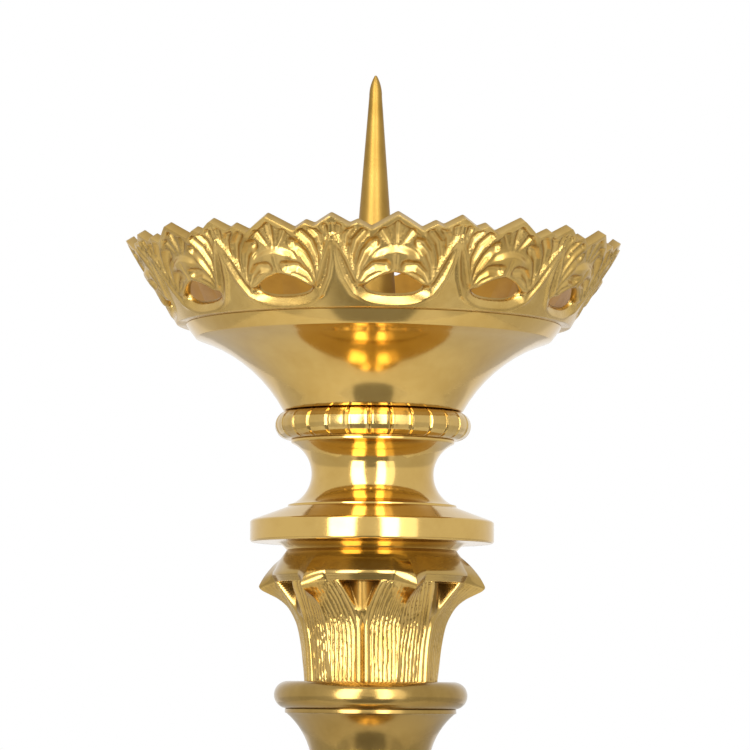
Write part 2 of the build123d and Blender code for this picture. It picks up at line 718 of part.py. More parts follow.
def gallery():
    """Pierced gallery: the leaning wall, with the ornament and the cuts of a palmette round its axis."""
    first = bearing(PALMETTE_VIEW)
    raised = []
    for shape in [sill_lip()] + ornament():
        raised += round_the_axis(shape, MODULE_COUNT, first)
    cuts = []
    for face in (opening(), rim_cutter()):
        cutter = extrude(wall_flat() * face, amount=RELIEF_REACH, both=True)
        cuts += round_the_axis(cutter, MODULE_COUNT, first)
    return gallery_wall() + raised - cuts


def pricket():
    """Turned spike, tapped from below for the tie rod."""
    top = Z_PRICKET + PRICKET_LENGTH
    bore_top = Z_PRICKET + PRICKET_ENGAGEMENT + PRICKET_BORE_SPARE
    return turned(
        (THREAD_HOLE, Z_PRICKET),
        (PRICKET_FOOT_RADIUS, Z_PRICKET),
        (PRICKET_POINT_RADIUS, top - PRICKET_POINT_LENGTH),
        (PRICKET_NOSE_RADIUS, top, PRICKET_POINT_BOW),
        (0, top),
        (0, bore_top),
        (THREAD_HOLE, bore_top),
    )


def pricket_washer():
    return ring(ROD_HOLE, PRICKET_WASHER_RADIUS, Z_DISH_FLOOR, PRICKET_WASHER_THICKNESS)


def tie_rod():
    """Rod from the nut up into the pricket, its ends chamfered."""
    bottom = Z_NUT - ROD_TAIL
    top = Z_PRICKET + PRICKET_ENGAGEMENT
    return turned(
        (0, bottom),
        (ROD_RADIUS - ROD_CHAMFER, bottom),
        (ROD_RADIUS, bottom + ROD_CHAMFER),
        (ROD_RADIUS, top - ROD_CHAMFER),
        (ROD_RADIUS - ROD_CHAMFER, top),
        (0, top),
    )


def base_bridge():
    return ring(ROD_HOLE, SHELF_RADIUS + BRIDGE_LAP, Z_BRIDGE, BRIDGE_THICKNESS)


def flat_washer():
    return ring(ROD_HOLE, FLAT_WASHER_RADIUS, Z_FLAT_WASHER, FLAT_WASHER_THICKNESS)


def lock_washer():
    """Split spring washer, flattened by the nut."""
    washer = ring(ROD_HOLE, LOCK_WASHER_RADIUS, Z_LOCK_WASHER, LOCK_WASHER_THICKNESS)
    slit = Pos(0, 0, Z_LOCK_WASHER) * Box(
        LOCK_WASHER_RADIUS + ROD_RADIUS,
        LOCK_WASHER_SLIT,
        LOCK_WASHER_THICKNESS,
        align=(Align.MIN, Align.CENTER, Align.MIN),
    )
    return washer - slit


def rod_nut():
    """Hexagon nut with its corners coned off at both ends."""
    flat = NUT_ACROSS_FLATS / 2
    corner = flat / math.cos(math.pi / 6)
    hexagon = extrude(Pos(0, 0, Z_NUT) * RegularPolygon(corner, 6), amount=NUT_HEIGHT)
    top = Z_NUT + NUT_HEIGHT
    blank = turned(
        (THREAD_HOLE, Z_NUT),
        (flat, Z_NUT),
        (corner, Z_NUT + NUT_CHAMFER),
        (corner, top - NUT_CHAMFER),
        (flat, top),
        (THREAD_HOLE, top),
    )
    return hexagon & blank


PIECES = (
    felt_pad,
    base_plate,
    base_foot,
    base_dome,
    base_bead,
    base_bridge,
    flat_washer,
    lock_washer,
    rod_nut,
    tie_rod,
    shaft_foot,
    shaft,
    shaft_collar,
    leaf_capital,
    neck_spool,
    gadroon_ring,
    pan_bell,
    pan_spacer,
    gallery,
    drip_dish,
    pricket_washer,
    pricket,
)

os.makedirs("parts", exist_ok=True)
for piece in PIECES:
    export_step(piece(), f"parts/{piece.__name__}.step")
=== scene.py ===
import math

import bmesh
import bpy
from mathutils import Matrix, Vector, noise


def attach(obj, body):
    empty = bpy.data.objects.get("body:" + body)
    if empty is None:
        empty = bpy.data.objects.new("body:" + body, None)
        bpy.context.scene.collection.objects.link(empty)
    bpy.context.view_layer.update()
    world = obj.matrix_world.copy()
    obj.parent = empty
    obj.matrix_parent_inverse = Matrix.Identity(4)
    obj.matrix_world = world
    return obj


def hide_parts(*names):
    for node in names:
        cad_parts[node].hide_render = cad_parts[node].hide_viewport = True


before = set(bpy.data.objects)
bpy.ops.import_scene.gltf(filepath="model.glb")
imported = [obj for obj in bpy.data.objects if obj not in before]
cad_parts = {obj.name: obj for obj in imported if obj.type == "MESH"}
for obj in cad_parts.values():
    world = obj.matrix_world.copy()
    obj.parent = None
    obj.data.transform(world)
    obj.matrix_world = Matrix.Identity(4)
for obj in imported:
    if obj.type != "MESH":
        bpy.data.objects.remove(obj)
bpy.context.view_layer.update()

MM = 0.001
ROUND_STEPS = 192
ARC_STEP = math.radians(5)
WELD = 0.002 * MM

# Gallery wall: it leans out from its lower edge, and twelve palmettes stand round it
PALMETTES = 12
PALMETTE_BEARING = math.radians(5.3 - 90)
WALL_LEAN = math.radians(31.8)
WALL_SLOPE = 29.0
WALL_FOOT_RADIUS = 59.6
WALL_FOOT_HEIGHT = 443.7
WALL_THICKNESS = 2.5
# Way round the gallery's foot ring, from the wall's lower outer edge to where its inner face starts, which is
# this far up the slope
FOOT_RING = (
    (59.5, 443.55), (59.2, 443.43), (58.7, 443.4), (56.8, 443.4), (52.0, 443.4), (52.0, 445.4),
    (57.7125, 445.4),
)
WALL_INNER_FOOT = 0.4502

# Capital: six leaves, each sector from one gap to the next
LEAVES = 6
LEAF_BEARING = math.radians(22.8 - 90)

# Ring of gadroons: the cuts between them, and the round that they stand on
GADROONS = 28
GADROON_BEARING = math.radians(-2.3 - 90)
GADROON_STEPS = 18
GADROON_ROOT = 25.1
CUT_DEPTH = 0.42
CUT_HALF_WIDTH = 0.3

# Brass: size of the tarnish blotches, punched dots on the carved ground, and what satin adds to the roughness
BLOTCH_MM = 14
DOT_MM = 0.6
DOT_DEPTH_MM = 0.14
SATIN_ROUGHNESS = 0.24
# Colour of the old dirt and the painted shade in the cuts and hollows of the cast pieces
DIRT_AND_SHADE_COLOUR = "#64481B"

# Studio, in metres: the table that the stand is on, and where the soft boxes point
TABLE_FRONT = 0.17
TABLE_WIDTH = 1.1
BOX_AIM = 0.44
BOX_DISTANCE = 1.6
# What the unlit parts of the room lack of full white, to the front and to the sides
FRONT_DIM = 0.62
SIDE_DIM = 0.24
# Camera, set by the photograph's outlines
CAMERA_PLACE = (0.0005, -1.15, 0.334)
CAMERA_PITCH = math.radians(90 + 4.71)
CAMERA_ROLL = math.radians(0.47)
LENS_MM = 183.5


def smooth(edge, far, value):
    """Eased step from 0 at edge to 1 at far."""
    share = min(max((value - edge) / (far - edge), 0.0), 1.0)
    return share * share * (3 - 2 * share)


def bump(distance, width):
    """Rounded ridge, 1 on its line and falling away over its half width."""
    return math.exp(-((distance / width) ** 2))


def linear(code):
    """Linear colour of an sRGB hex value."""
    channels = [int(code[place:place + 2], 16) / 255 for place in (1, 3, 5)]
    return tuple(c / 12.92 if c <= 0.04045 else ((c + 0.055) / 1.055) ** 2.4 for c in channels) + (1.0,)


def add(tree, kind, inputs=None, **settings):
    """Add a node with its settings, and set or link its inputs."""
    made = tree.nodes.new("ShaderNode" + kind)
    for key, value in settings.items():
        setattr(made, key, value)
    for key, value in (inputs or {}).items():
        if isinstance(value, bpy.types.NodeSocket):
            tree.links.new(value, made.inputs[key])
        else:
            made.inputs[key].default_value = value
    return made


def new_material(name):
    material = bpy.data.materials.new(name)
    material.use_nodes = True
    material.node_tree.nodes.clear()
    return material, material.node_tree


def per_mm(size):
    """Texture scale for a pattern of this size in millimetres."""
    return 1 / (size * MM)


def brass(name, polished, tarnished, smoothest, roughest, grain_mm, grain_depth_mm, carved=False):
    """Yellow brass. Blotches of thin tarnish dull it, and a fine grain breaks its reflections. On a carved
    piece its own attributes place the old dirt and painted shade, the satin finish and the punched ground."""
    material, tree = new_material(name)
    place = add(tree, "TexCoord").outputs["Object"]
    blotch = add(
        tree, "TexNoise", {"Vector": place, "Scale": per_mm(BLOTCH_MM), "Detail": 5.0, "Roughness": 0.62},
    )
    patch = add(tree, "MapRange", {"Value": blotch.outputs["Fac"], "From Min": 0.42, "From Max": 0.72})
    tone = add(tree, "ValToRGB", {"Fac": patch.outputs["Result"]})
    tone.color_ramp.elements[0].color = linear(polished)
    tone.color_ramp.elements[1].color = linear(tarnished)
    grain = add(tree, "TexNoise", {"Vector": place, "Scale": per_mm(grain_mm), "Detail": 3.0})
    rough = add(
        tree, "MapRange",
        {
            "Value": grain.outputs["Fac"], "From Min": 0.3, "From Max": 0.7, "To Min": smoothest,
            "To Max": roughest,
        },
    )
    relief = add(
        tree, "Bump", {"Height": grain.outputs["Fac"], "Distance": grain_depth_mm * MM, "Strength": 1.0},
    )
    colour, roughness, normal = tone.outputs["Color"], rough.outputs["Result"], relief.outputs["Normal"]
    if carved:
        dirt_and_shade = add(tree, "Attribute", attribute_name="dirt_and_shade").outputs["Fac"]
        satin = add(tree, "Attribute", attribute_name="satin").outputs["Fac"]
        punched = add(tree, "Attribute", attribute_name="punched").outputs["Fac"]
        # Sockets 6 and 7 of the mix are its two colours, and output 2 is their mix
        # Old dirt and painted shade are mixed into the brass where the dirt attribute is high
        soil_and_shade = add(tree, "Mix", {0: dirt_and_shade, 6: colour, 7: linear(DIRT_AND_SHADE_COLOUR)}, data_type="RGBA")
        dots = add(tree, "TexVoronoi", {"Vector": place, "Scale": per_mm(DOT_MM)})
        pits = add(
            tree, "Bump",
            {
                "Strength": punched, "Height": dots.outputs["Distance"], "Distance": DOT_DEPTH_MM * MM,
                "Normal": normal,
            },
        )
        duller = add(tree, "Math", {0: satin, 1: SATIN_ROUGHNESS, 2: roughness}, operation="MULTIPLY_ADD")
        colour, roughness, normal = soil_and_shade.outputs[2], duller.outputs["Value"], pits.outputs["Normal"]
    shader = add(
        tree, "BsdfPrincipled",
        {"Base Color": colour, "Metallic": 1.0, "Roughness": roughness, "Normal": normal},
    )
    add(tree, "OutputMaterial", {"Surface": shader.outputs["BSDF"]})
    return material


# Bell, spool and foot: a near mirror, a little clouded where the tarnish starts
turned_brass = brass("turned_polished_brass", "#CBA962", "#C09C55", 0.09, 0.15, 0.5, 0.0015)
# Collar and shaft: darker and softer; the darker colour is painted shade for the dim low room these parts
# mirror
shaded_stem_brass = brass("turned_satin_brass_painted_shade", "#A3864C", "#93763E", 0.16, 0.22, 0.5, 0.002)
# Spike: dull turned brass with one broad light down its middle
spike_brass = brass("turned_spike_brass", "#9C7C3C", "#8A6C30", 0.42, 0.5, 0.4, 0.003)
# Gallery, ring and capital: bright on the high parts, brown in the cuts with old dirt and painted shade, dotted
# on the punched ground
cast_brass = brass("chased_cast_brass", "#C8A864", "#B3904A", 0.12, 0.2, 0.35, 0.004, carved=True)
# Inside of the gallery: brown and dull, its darker colour painted shade for the dim inside
shaded_inside_brass = brass("inside_brass_painted_shade", "#A6782F", "#926525", 0.3, 0.4, 0.35, 0.004)


def zinc_plate():
    """Zinc-plated steel rod and fastenings: cool grey with a faint crystalline mottle."""
    material, tree = new_material("zinc_plated_steel")
    place = add(tree, "TexCoord").outputs["Object"]
    spangle = add(tree, "TexVoronoi", {"Vector": place, "Scale": per_mm(2.5)})
    tone = add(tree, "ValToRGB", {"Fac": spangle.outputs["Distance"]})
    tone.color_ramp.elements[0].color = linear("#A9ADAF")
    tone.color_ramp.elements[1].color = linear("#C9CBCA")
    shader = add(
        tree, "BsdfPrincipled", {"Base Color": tone.outputs["Color"], "Metallic": 1.0, "Roughness": 0.34},
    )
    add(tree, "OutputMaterial", {"Surface": shader.outputs["BSDF"]})
    return material


def green_felt():
    """Pressed wool felt: dull, with matted fibres that lie every way."""
    material, tree = new_material("pressed_wool_felt")
    place = add(tree, "TexCoord").outputs["Object"]
    fibre = add(tree, "TexNoise", {"Vector": place, "Scale": per_mm(0.6), "Detail": 6.0, "Distortion": 1.5})
    tone = add(tree, "ValToRGB", {"Fac": fibre.outputs["Fac"]})
    tone.color_ramp.elements[0].position = 0.3
    tone.color_ramp.elements[0].color = linear("#1D3A2A")
    tone.color_ramp.elements[1].position = 0.7
    tone.color_ramp.elements[1].color = linear("#355A43")
    nap = add(tree, "Bump", {"Height": fibre.outputs["Fac"], "Distance": 0.25 * MM, "Strength": 1.0})
    shader = add(
        tree, "BsdfPrincipled",
        {
            "Base Color": tone.outputs["Color"], "Roughness": 0.95, "Sheen Weight": 0.4,
            "Normal": nap.outputs["Normal"],
        },
    )
    add(tree, "OutputMaterial", {"Surface": shader.outputs["BSDF"]})
    return material


zinc = zinc_plate()
felt = green_felt()


def finish_piece(bm, name, node, body, slot, material, *others, sharp=40):
    """Make the mesh an object that stands for its node and rides on its body."""
    mesh = bpy.data.meshes.new(name)
    bm.to_mesh(mesh)
    bm.free()
    for each in (material, *others):
        mesh.materials.append(each)
    mesh.shade_smooth()
    mesh.set_sharp_from_angle(angle=math.radians(sharp))
    piece = bpy.data.objects.new(name, mesh)
    bpy.context.scene.collection.objects.link(piece)
    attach(piece, body)
    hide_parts(node)
    return piece


def drawn(start, *steps):
    """Points of a closed outline, and the places of its corners. A step is a radius and a height, and the
    bow of an arc where the way there is curved: positive swells, negative hollows."""
    points, corners = [start], [0]
    here = start
    for radius, height, *bow in steps:
        run, rise = radius - here[0], height - here[1]
        if bow:
            chord = math.hypot(run, rise)
            half = 2 * math.atan(2 * bow[0] / chord)
            count = max(2, math.ceil(abs(2 * half) / ARC_STEP))
            for step in range(1, count):
                turn = half * (1 - 2 * step / count)
                along = 0.5 - math.sin(turn) / math.sin(half) / 2
                out = (math.cos(turn) - math.cos(half)) / math.sin(half) / 2
                points.append((here[0] + along * run + out * rise, here[1] + along * rise - out * run))
        here = (radius, height)
        corners.append(len(points))
        points.append(here)
    return points, corners


def turning(
    name, start, *steps, node, body="stand", slot="turned_brass", material=turned_brass, ease=0.3,
):
    """Turned piece: its outline with eased corners, spun round the axis."""
    points, corners = drawn(start, *steps)
    bm = bmesh.new()
    rim = [bm.verts.new((radius * MM, 0, height * MM)) for radius, height in points]
    bm.faces.new(rim)
    turned_corners = [rim[place] for place in corners if points[place][0] > ease]
    bmesh.ops.bevel(
        bm, geom=turned_corners, offset=ease * MM, offset_type="OFFSET", affect="VERTICES",
        segments=3, profile=0.5, material=-1, clamp_overlap=True,
    )
    bmesh.ops.delete(bm, geom=bm.faces[:], context="FACES_ONLY")
    bmesh.ops.spin(
        bm, geom=bm.verts[:] + bm.edges[:], cent=(0, 0, 0), axis=(0, 0, 1),
        angle=2 * math.pi, steps=ROUND_STEPS, use_merge=True,
    )
    bmesh.ops.remove_doubles(bm, verts=bm.verts[:], dist=WELD)
    bmesh.ops.recalc_face_normals(bm, faces=bm.faces[:])
    return finish_piece(bm, name, node, body, slot, material)


turning(
    "spike", (4.05, 444.9), (7.15, 444.9), (1.95, 513.5), (0.3, 520.0, 0.45), (0, 520.0), (0, 457.9),
    (4.05, 457.9), node="pricket", body="spike", material=spike_brass, ease=0.2,
)
turning(
    "spike_washer", (4.3, 443.4), (10, 443.4), (10, 444.9), (4.3, 444.9),
    node="pricket_washer", body="washer",
)
turning(
    "wax_dish", (4.3, 441.4), (43, 441.4), (45, 445.4), (57.4, 445.4), (57.4, 447.4), (43, 447.4), (41, 443.4),
    (4.3, 443.4), node="drip_dish",
)
turning(
    "bell", (4.3, 414.6), (16.9, 414.6), (16.9, 417.6), (27, 417.6), (53.7, 439.3, -3.4), (56.8, 443.4),
    (50.8, 443.4), (50.8, 442.2), (20, 421.6, 3.4), (4.3, 421.6), node="pan_bell",
)
turning(
    "spool", (4.3, 372.6), (12.9, 372.6), (12.9, 375.6), (25.6, 375.6), (30.5, 378, -0.8), (36.2, 378),
    (36.7, 378.5), (36.7, 384.2), (36.2, 384.7), (25.4, 388.7), (25.4, 389.4), (24.6, 389.4),
    (24.6, 408, -6.2), (24.6, 409), (16.9, 409), (16.9, 412), (4.3, 412), node="neck_spool", ease=0.25,
)
turning(
    "collar", (4.3, 300), (13.5, 300), (13.5, 310), (17.4, 310), (25.3, 327, -2.08), (25.7, 327), (25.7, 328.3),
    (24.9, 328.3), (24.9, 336.5, 4.1), (12.9, 336.5), (12.9, 339.5), (4.3, 339.5), node="shaft_collar",
    material=shaded_stem_brass, ease=0.15,
)
turning(
    "tube", (13.6, 102.5), (18.4, 102.5), (17.4, 310), (13.6, 310), node="shaft", material=shaded_stem_brass, ease=0.1,
)
turning(
    "tube_foot", (4.3, 73), (12.9, 73), (12.9, 84.2), (25.7, 84.2), (25.7, 85.5), (25.3, 85.5),
    (18.4, 102.5, -2.08), (13.5, 102.5), (13.5, 112.5), (4.3, 112.5), node="shaft_foot",
    material=shaded_stem_brass, ease=0.15,
)
turning(
    "lower_bead", (13, 76), (24.9, 76), (24.9, 84.2, 4.1), (13, 84.2), node="base_bead", material=shaded_stem_brass,
    ease=0.15,
)
turning(
    "dome", (58, 34), (62, 34), (62, 37), (48, 49, 2.3), (26, 76, -6), (13, 76), (13, 70), (22, 70),
    (44, 45, 6), (58, 37, -2.3), node="base_dome",
)
turning(
    "foot", (36, 29), (58, 29), (82, 9), (82, 4), (86.1, 4), (86.1, 2), (95, 2), (95, 9), (93, 9),
    (81, 21, 3.4), (79, 21), (79, 23), (64, 34, -2.6), (57.9, 34), (57.9, 37), (53.9, 37), (53.9, 34), (36, 34),
    node="base_foot", ease=0.5,
)


def carried_on(bm, row, radius, height):
    """Extrude a row of edges to a ring of this radius and height, and give the new row."""
    made = bmesh.ops.extrude_edge_only(bm, edges=row)["geom"]
    for vert in made:
        if isinstance(vert, bmesh.types.BMVert):
            angle = math.atan2(vert.co.y, vert.co.x)
            vert.co = Vector((radius * math.cos(angle), radius * math.sin(angle), height)) * MM
    return [part for part in made if isinstance(part, bmesh.types.BMEdge)]


def repeat_round(bm, count, weld_mm):
    """Repeat one sector round the axis and weld the sectors together."""
    bmesh.ops.spin(
        bm, geom=bm.verts[:] + bm.edges[:] + bm.faces[:], cent=(0, 0, 0), axis=(0, 0, 1),
        angle=2 * math.pi * (count - 1) / count, steps=count - 1, use_duplicate=True,
    )
    bmesh.ops.remove_doubles(bm, verts=bm.verts[:], dist=weld_mm * MM)


def gadroon_ring():
    """Half-round ring, cut across by fine grooves that part its gadroons."""
    points, _ = drawn((17, 409), (GADROON_ROOT, 409), (GADROON_ROOT, 417.6, 4.3), (17, 417.6))
    bm = bmesh.new()
    rim = [bm.verts.new((radius * MM, 0, height * MM)) for radius, height in points]
    edges = [bm.edges.new(pair) for pair in zip(rim, rim[1:] + rim[:1])]
    bmesh.ops.spin(
        bm, geom=rim + edges, cent=(0, 0, 0), axis=(0, 0, 1), angle=2 * math.pi,
        steps=GADROONS * GADROON_STEPS, use_merge=True,
    )
    bmesh.ops.remove_doubles(bm, verts=bm.verts[:], dist=WELD)
    dirt_and_shade = bm.verts.layers.float.new("dirt_and_shade")
    pitch = 2 * math.pi / GADROONS
    for vert in bm.verts:
        radius = math.hypot(vert.co.x, vert.co.y) / MM
        if radius < GADROON_ROOT + 0.1:
            continue
        turn = (math.atan2(vert.co.y, vert.co.x) - GADROON_BEARING) / pitch
        across = (turn - round(turn)) * pitch * radius
        # The groove throws up a low burr on both its sides
        cut = CUT_DEPTH * bump(across, CUT_HALF_WIDTH) - 0.12 * bump(abs(across) - 0.62, 0.32)
        share = smooth(GADROON_ROOT, GADROON_ROOT + 1.5, radius)
        # Old dirt and painted shade darken the cut grooves
        vert[dirt_and_shade] = 0.2 * bump(across, 0.22)
        scale = 1 - cut * share / radius
        vert.co.x *= scale
        vert.co.y *= scale
    bmesh.ops.recalc_face_normals(bm, faces=bm.faces[:])
    finish_piece(bm, "gadroons", "gadroon_ring", "stand", "cast_brass", cast_brass)


gadroon_ring()


felt_disc = turning(
    "felt_disc", (0, 0), (91, 0), (91, 2), (0, 2), node="felt_pad", slot="felt", material=felt, ease=0.7,
)

# Plain inner pieces that show as the solids themselves
for node, material in (
    ("base_plate", zinc), ("base_bridge", zinc), ("flat_washer", zinc), ("lock_washer", zinc),
    ("rod_nut", zinc), ("tie_rod", zinc), ("pan_spacer", turned_brass),
):
    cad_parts[node].data.materials.clear()
    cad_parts[node].data.materials.append(material)

# Half of the rim: degrees from the palmette's middle, and millimetres up the slope
RIM = ((0, 29.0), (5.9, 24.2), (8.9, 26.5), (10.9, 25.3), (15, 28.6))
BLUNT = 0.3
RIM_COLUMNS = (17, 8, 6, 11)
WALL_ROWS = 80

# Palmette on the unrolled wall, in millimetres across from its middle and up the slope
SILL = (0.0, 2.5)
SILL_STEPS = 18
SILL_POWER = 0.84
CORNER = (8.8, 6.0)
BROW = (4.2, 9.5)
CUSP = (0.0, 10.8)
OUTER_RIDGE = ((6.5, 0.6), (9.3, 1.9), (11.8, 4.2), (14.9, 9.5), (17.0, 15.1), (18.2, 20.8))
INNER_RIDGE = ((10.6, 7.2), (11.9, 9.9), (14.6, 15.7), (17.3, 20.6), (18.3, 22.2))
# Relief over the plain wall, in millimetres
RIDGE_HEIGHT = 0.5
GROOVE_DEPTH = 0.3
BAND_HEIGHT = 0.4
FIELD_HEIGHT = 0.45
BODY_HEIGHT = 0.5
FAN_DEPTH = 0.8
SPINE_DEPTH = 0.4
LIP_WIDTH = 2.2
LIP_DEPTH = 1.4
GOUGE_SHARE = 0.75
# Gouged lobes: points of a middle line, each with the lobe's half width there
LOBES = (
    (((9.3, 7.4), 0.2), ((7.4, 9.2), 0.8), ((5.2, 10.6), 0.7), ((3.6, 11.0), 0.4)),
    (((10.0, 7.8), 0.3), ((8.6, 10.8), 1.2), ((6.2, 13.0), 1.7), ((3.2, 13.2), 2.1)),
    (((10.8, 9.2), 0.3), ((10.4, 13.4), 1.1), ((9.2, 17.2), 1.6), ((6.8, 20.0), 2.1)),
    (((12.2, 11.8), 0.3), ((12.8, 16.4), 1.2), ((12.0, 20.6), 1.6), ((9.8, 23.6), 1.6)),
    (((13.9, 15.4), 0.3), ((15.0, 19.2), 1.1), ((14.9, 22.4), 1.4), ((13.4, 24.6), 1.3)),
    (((15.9, 19.6), 0.3), ((17.0, 22.6), 1.0), ((17.0, 25.6), 1.2)),
    (((0.0, 18.6), 0.2), ((0.0, 22.4), 1.0), ((0.0, 26.0), 1.3)),
    (((1.2, 18.8), 0.2), ((3.0, 21.6), 0.9), ((4.4, 24.0), 1.2)),
)


def three_point_arc(first, middle, last, count):
    """Points along the arc through three points of a plane."""
    (ax, ay), (bx, by), (cx, cy) = first, middle, last
    twist = 2 * (ax * (by - cy) + bx * (cy - ay) + cx * (ay - by))
    a, b, c = ax * ax + ay * ay, bx * bx + by * by, cx * cx + cy * cy
    ux = (a * (by - cy) + b * (cy - ay) + c * (ay - by)) / twist
    uy = (a * (cx - bx) + b * (ax - cx) + c * (bx - ax)) / twist
    radius = math.hypot(ax - ux, ay - uy)
    start = math.atan2(ay - uy, ax - ux)
    sweep = math.remainder(math.atan2(cy - uy, cx - ux) - start, 2 * math.pi)
    turns = [start + sweep * step / count for step in range(count + 1)]
    return [(ux + radius * math.cos(turn), uy + radius * math.sin(turn)) for turn in turns]


# Right half of the pierced opening, from the sill's middle round to the cusp
SILL_EDGE = [
    (
        CORNER[0] * math.sin(math.pi / 2 * step / SILL_STEPS) ** SILL_POWER,
        CORNER[1] + (SILL[1] - CORNER[1]) * math.cos(math.pi / 2 * step / SILL_STEPS) ** SILL_POWER,
    )
    for step in range(SILL_STEPS)
] + [CORNER]
BROW_EDGE = three_point_arc(CORNER, BROW, CUSP, 14)
OPENING = SILL_EDGE + BROW_EDGE[1:]


def nearest(point, line):
    """Nearest point of a line of points, and its distance."""
    best, place = 1e9, None
    x, y = point
    for (ax, ay), (bx, by) in zip(line, line[1:]):
        dx, dy = bx - ax, by - ay
        share = min(max(((x - ax) * dx + (y - ay) * dy) / (dx * dx + dy * dy), 0.0), 1.0)
        px, py = ax + share * dx, ay + share * dy
        gap = math.hypot(x - px, y - py)
        if gap < best:
            best, place = gap, (px, py)
    return best, place


def in_opening(point):
    """Whether a point of the right half lies in the opening."""
    x, y = point
    inside = False
    for (ax, ay), (bx, by) in zip(OPENING, OPENING[1:] + OPENING[:1]):
        if (ay > y) != (by > y) and x < ax + (y - ay) / (by - ay) * (bx - ax):
            inside = not inside
    return inside


def near_opening(up, across):
    """Whether a place on the wall is in the part that the opening is cut from."""
    return 1.5 < up < 12 and abs(across) < 10


def gouged(point):
    """Depth of the deepest lobe at a point, and how far across its half width the point is."""
    depth, side = 0.0, 2.0
    x, y = point
    for lobe in LOBES:
        for ((ax, ay), a), ((bx, by), b) in zip(lobe, lobe[1:]):
            dx, dy = bx - ax, by - ay
            share = min(max(((x - ax) * dx + (y - ay) * dy) / (dx * dx + dy * dy), 0.0), 1.0)
            width = a + share * (b - a)
            across = math.hypot(x - ax - share * dx, y - ay - share * dy) / width
            depth = max(depth, GOUGE_SHARE * width * (1 - across * across))
            side = min(side, across)
    return depth, side


def rim_height(degrees):
    """Height of the toothed rim up the slope, its points a little blunted."""
    total = 0.0
    for shift, weight in ((-BLUNT, 0.25), (0.0, 0.5), (BLUNT, 0.25)):
        place = abs(degrees + shift)
        place = min(place, 2 * RIM[-1][0] - place)
        for (a, low), (b, high) in zip(RIM, RIM[1:]):
            if a <= place <= b:
                total += weight * (low + (high - low) * (place - a) / (b - a))
                break
    return total


def rim_distance(point):
    """Distance of a point from the toothed rim."""
    line = [(math.radians(a) * (WALL_FOOT_RADIUS + h * math.sin(WALL_LEAN)), h) for a, h in RIM]
    line = [(-line[1][0], line[1][1])] + line + [(2 * line[-1][0] - line[-2][0], line[-2][1])]
    return nearest(point, line)[0]


def side_of(point, line):
    """Signed distance from a rising line: positive towards the palmette's middle."""
    gap, (px, py) = nearest(point, line)
    return gap if point[0] < px else -gap


def chased(across, up):
    """Height of the chased wall over its plain cone, and the dirt with painted shade, the satin and the punched
    ground it holds.
    """
    point = (abs(across), up)
    outer = side_of(point, OUTER_RIDGE)
    inner = side_of(point, INNER_RIDGE)
    edge = rim_distance(point)
    hole = nearest(point, OPENING)[0]
    field = smooth(-0.2, 0.6, inner) * smooth(6.2, 7.6, up)
    depth, side = gouged(point)

    # Two ridges frame the palmette, with a sunk groove between them
    height = RIDGE_HEIGHT * bump(outer, 0.6) * smooth(1.5, 4.0, up)
    height += RIDGE_HEIGHT * bump(inner, 0.55) * smooth(6.8, 8.6, up) * smooth(25.0, 22.0, up)
    groove = smooth(0.4, 1.0, outer) * smooth(-0.3, -0.9, inner) * smooth(4.5, 7.0, up)
    height -= GROOVE_DEPTH * groove

    # The body over the two curls stands proud, and the small fan above it lies deeper
    body = smooth(5.5, 3.0, point[0]) * smooth(11.0, 14.0, up)
    brow = up + 0.06 * point[0] ** 2
    fan = smooth(17.4, 19.2, brow) * smooth(7.5, 5.5, point[0])
    height -= SPINE_DEPTH * bump(point[0], 0.5) * smooth(10.5, 12.0, up) * smooth(18.0, 16.0, up)
    band = smooth(2.0, 1.4, edge)
    height += BAND_HEIGHT * band
    height += field * (1 - band) * (FIELD_HEIGHT + BODY_HEIGHT * body * (1 - fan) - FAN_DEPTH * fan)
    height -= field * depth * smooth(0.2, 1.4, edge)

    # The lip under the opening falls inwards, and the edges of rim and opening are rounded off
    lip = smooth(7.2, 5.2, up) * smooth(LIP_WIDTH + 0.2, LIP_WIDTH - 0.2, hole) * smooth(-0.6, 0.0, outer)
    height -= LIP_DEPTH * lip * max(1 - hole / LIP_WIDTH, 0.0) ** 1.4
    height -= 0.1 * smooth(0.6, 0.0, edge) ** 2
    height -= 0.4 * smooth(0.6, 0.0, hole) * smooth(5.6, 7.4, up)

    # Old dirt and painted shade darken the cuts, the groove, the punched ground, the foot of the rim band and
    # the place under the lip, and the ground beside the cuts is punched
    ground = field * smooth(0.9, 1.2, side) * smooth(18.0, 20.5, up) * (1 - band)
    beside = field * smooth(2.6, 1.2, inner) * smooth(9.0, 13.0, up) * (1 - band)
    dirt_and_shade = 0.3 * field * bump(side - 1.0, 0.22) * (1 - band) + 0.3 * groove + 0.25 * ground
    shade_under_lip = bump(hole - LIP_WIDTH - 0.1, 0.2) * smooth(6.0, 4.5, up)
    dirt_and_shade = max(dirt_and_shade, 0.35 * field * bump(edge - 1.9, 0.3), 0.3 * shade_under_lip)
    plain = smooth(-0.2, -0.8, outer)
    satin = 0.65 - 0.4 * plain - 0.3 * lip
    return height, min(dirt_and_shade, 1.0), satin, max(ground, 0.7 * groove, 0.6 * beside)


def wall_place(angle, up, out):
    """Point off the wall, from its angle round the axis, its way up the slope and its height off the cone."""
    radius = WALL_FOOT_RADIUS + up * math.sin(WALL_LEAN) + out * math.cos(WALL_LEAN)
    height = WALL_FOOT_HEIGHT + up * math.cos(WALL_LEAN) - out * math.sin(WALL_LEAN)
    return Vector((radius * math.cos(angle), radius * math.sin(angle), height)) * MM


def on_wall(co):
    """Angle, way up the slope and millimetres across of a point of the plain wall."""
    up = (co.z / MM - WALL_FOOT_HEIGHT) / math.cos(WALL_LEAN)
    angle = math.atan2(co.y, co.x)
    return angle, up, angle * (WALL_FOOT_RADIUS + up * math.sin(WALL_LEAN))


